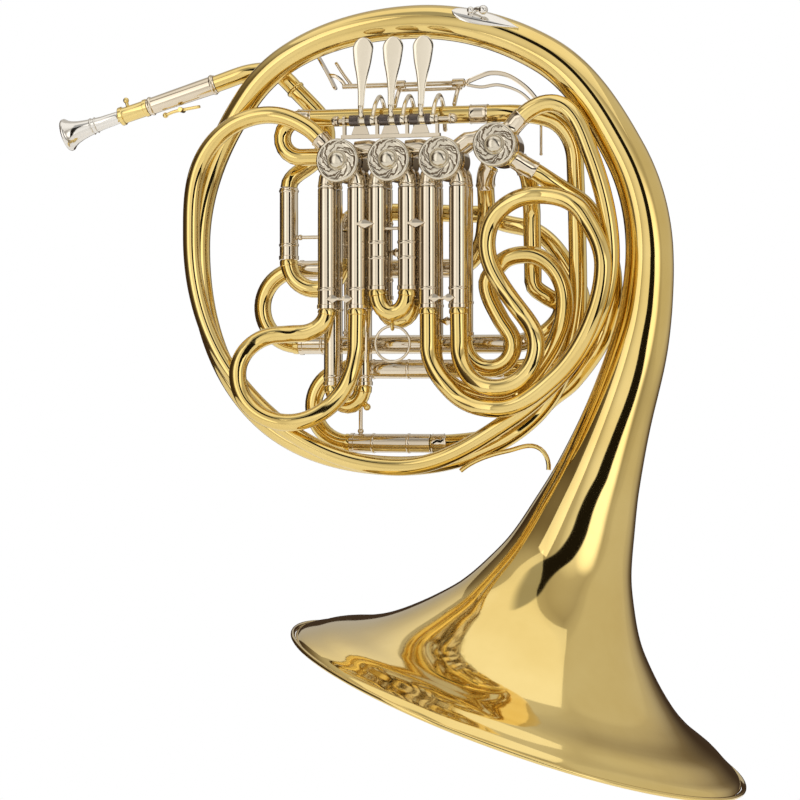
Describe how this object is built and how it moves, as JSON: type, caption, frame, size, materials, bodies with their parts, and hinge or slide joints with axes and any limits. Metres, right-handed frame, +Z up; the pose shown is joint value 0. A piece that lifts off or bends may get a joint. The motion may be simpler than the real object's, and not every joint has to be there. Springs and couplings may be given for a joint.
{
  "type": "french horn",
  "caption": "Double French horn in polished lacquered brass with nickel silver rotary valves, levers and slide sleeves, and a silver mouthpiece.",
  "frame": {"origin": "on the second valve's rotor axis, in the plane of the rear valve deck, where the left hand holds the horn", "axes": "+X to the player's-eye right of the valve face, +Z up along the valve slides, -Y out of the valve caps"},
  "size_m": [0.467, 0.31, 0.5085],
  "materials": {
    "lacquered_brass": "polished",
    "nickel_silver": "polished",
    "silver_plate": "polished"
  },
  "bodies": {
    "horn_body": {"bell": "lacquered_brass", "rim_wire": "lacquered_brass", "bell_branch": "lacquered_brass", "f_loop": "lacquered_brass", "receiver": "lacquered_brass", "leadpipe_sleeve": "nickel_silver", "leadpipe": "lacquered_brass", "valve_casing_1": "nickel_silver", "valve_cap_1": "nickel_silver", "valve_casing_2": "nickel_silver", "valve_cap_2": "nickel_silver", "valve_casing_3": "nickel_silver", "valve_cap_3": "nickel_silver", "valve_casing_4": "nickel_silver", "valve_cap_4": "nickel_silver", "f_slide_1_sleeves": "nickel_silver", "f_slide_2_sleeves": "nickel_silver", "f_slide_3_sleeves": "nickel_silver", "b_slide_1_sleeves": "nickel_silver", "b_slide_2_sleeves": "nickel_silver", "b_slide_3_sleeves": "nickel_silver", "main_tuning_sleeves": "nickel_silver", "crossover_tube": "lacquered_brass", "f_tuning_slide_sleeves": "nickel_silver", "b_tuning_slide_sleeves": "nickel_silver", "upper_return_tube": "lacquered_brass", "lower_return_tube": "lacquered_brass", "outer_return_tube": "lacquered_brass", "lever_rack": "nickel_silver", "lever_rod": "nickel_silver", "thumb_lever_bracket": "nickel_silver", "finger_hook": "silver_plate", "bell_brace": "lacquered_brass"},
    "rotor_1_body": {"rotor_1": "lacquered_brass", "stop_arm_1": "lacquered_brass"},
    "rotor_2_body": {"rotor_2": "lacquered_brass", "stop_arm_2": "lacquered_brass"},
    "rotor_3_body": {"rotor_3": "lacquered_brass", "stop_arm_3": "lacquered_brass"},
    "rotor_4_body": {"rotor_4": "lacquered_brass", "stop_arm_4": "lacquered_brass"},
    "f_slide_1_body": {"f_slide_1": "lacquered_brass"},
    "f_slide_2_body": {"f_slide_2": "lacquered_brass"},
    "f_slide_3_body": {"f_slide_3": "lacquered_brass"},
    "b_slide_1_body": {"b_slide_1": "lacquered_brass"},
    "b_slide_2_body": {"b_slide_2": "lacquered_brass"},
    "b_slide_3_body": {"b_slide_3": "lacquered_brass"},
    "main_tuning_slide_body": {"main_tuning_slide": "lacquered_brass"},
    "f_tuning_slide_body": {"f_tuning_slide": "lacquered_brass"},
    "b_tuning_slide_body": {"b_tuning_slide": "lacquered_brass"},
    "pull_ring_body": {"pull_ring": "nickel_silver"},
    "mouthpiece_body": {"mouthpiece": "silver_plate"},
    "water_key_body": {"water_key": "lacquered_brass"},
    "thumb_lever_body": {"thumb_lever": "nickel_silver"},
    "finger_lever_1_body": {"finger_lever_1": "nickel_silver"},
    "finger_lever_2_body": {"finger_lever_2": "nickel_silver"},
    "finger_lever_3_body": {"finger_lever_3": "nickel_silver"}
  },
  "joints": [
    {"name": "f_slide_1_draw", "type": "slide", "parent": "horn_body", "child": "f_slide_1_body", "axis": [0, 0, -1], "range_m": [0, 0.012]},
    {"name": "f_slide_2_draw", "type": "slide", "parent": "horn_body", "child": "f_slide_2_body", "axis": [0, 0, -1], "range_m": [0, 0.02]},
    {"name": "f_slide_3_draw", "type": "slide", "parent": "horn_body", "child": "f_slide_3_body", "axis": [0, 0, -1], "range_m": [0, 0.013]},
    {"name": "b_slide_1_draw", "type": "slide", "parent": "horn_body", "child": "b_slide_1_body", "axis": [0, 0, -1], "range_m": [0, 0.02]},
    {"name": "b_slide_2_draw", "type": "slide", "parent": "horn_body", "child": "b_slide_2_body", "axis": [0, 0, -1], "range_m": [0, 0.02]},
    {"name": "b_slide_3_draw", "type": "slide", "parent": "horn_body", "child": "b_slide_3_body", "axis": [0, 0, -1], "range_m": [0, 0.014]},
    {"name": "main_tuning_slide_draw", "type": "slide", "parent": "horn_body", "child": "main_tuning_slide_body", "axis": [0, 0, -1], "range_m": [0, 0.012]},
    {"name": "f_tuning_slide_draw", "type": "slide", "parent": "horn_body", "child": "f_tuning_slide_body", "axis": [-1, 0, 0], "range_m": [0, 0.02]},
    {"name": "b_tuning_slide_draw", "type": "slide", "parent": "horn_body", "child": "b_tuning_slide_body", "axis": [-1, 0, 0], "range_m": [0, 0.02]},
    {"name": "mouthpiece_pull", "type": "slide", "parent": "horn_body", "child": "mouthpiece_body", "axis": [-0.9583, 0, -0.2857], "range_m": [0, 0.02]},
    {"name": "finger_lever_1_press", "type": "hinge", "parent": "horn_body", "child": "finger_lever_1_body", "pos_m": [-0.019, -0.02, 0.026], "axis": [-1, 0, 0], "range_deg": [0, 12], "stiffness_Nm_per_rad": 0.5, "springref_deg": -5.73},
    {"name": "finger_lever_2_press", "type": "hinge", "parent": "horn_body", "child": "finger_lever_2_body", "pos_m": [0.001, -0.02, 0.026], "axis": [-1, 0, 0], "range_deg": [0, 12], "stiffness_Nm_per_rad": 0.5, "springref_deg": -5.73},
    {"name": "finger_lever_3_press", "type": "hinge", "parent": "horn_body", "child": "finger_lever_3_body", "pos_m": [0.021, -0.02, 0.026], "axis": [-1, 0, 0], "range_deg": [0, 12], "stiffness_Nm_per_rad": 0.5, "springref_deg": -5.73},
    {"name": "thumb_lever_press", "type": "hinge", "parent": "horn_body", "child": "thumb_lever_body", "pos_m": [-0.003, 0.016, 0.053], "axis": [1, 0, 0], "range_deg": [0, 12], "stiffness_Nm_per_rad": 0.8, "springref_deg": -8.59},
    {"name": "rotor_1_turn", "type": "hinge", "parent": "horn_body", "child": "rotor_1_body", "pos_m": [-0.034, 0, 0], "axis": [0, 1, 0], "range_deg": [0, 90]},
    {"name": "rotor_2_turn", "type": "hinge", "parent": "horn_body", "child": "rotor_2_body", "pos_m": [0, 0, 0], "axis": [0, 1, 0], "range_deg": [0, 90]},
    {"name": "rotor_3_turn", "type": "hinge", "parent": "horn_body", "child": "rotor_3_body", "pos_m": [0.034, 0, 0], "axis": [0, 1, 0], "range_deg": [0, 90]},
    {"name": "rotor_4_turn", "type": "hinge", "parent": "horn_body", "child": "rotor_4_body", "pos_m": [0.07, 0, 0.008], "axis": [0, 1, 0], "range_deg": [0, 90]},
    {"name": "water_key_press", "type": "hinge", "parent": "horn_body", "child": "water_key_body", "pos_m": [-0.15688, 0.015, 0.03999], "axis": [0, 1, 0], "range_deg": [0, 5], "stiffness_Nm_per_rad": 0.05, "springref_deg": -11.46},
    {"name": "pull_ring_swing", "type": "hinge", "parent": "f_slide_2_body", "child": "pull_ring_body", "pos_m": [0, -0.015, -0.1073], "axis": [1, 0, 0], "range_deg": [-50, 0]}
  ],
  "couplings": [
    {"joint": "rotor_1_turn", "follows": "finger_lever_1_press", "ratio": 7.5},
    {"joint": "rotor_2_turn", "follows": "finger_lever_2_press", "ratio": 7.5},
    {"joint": "rotor_3_turn", "follows": "finger_lever_3_press", "ratio": 7.5},
    {"joint": "rotor_4_turn", "follows": "thumb_lever_press", "ratio": 7.5}
  ]
}
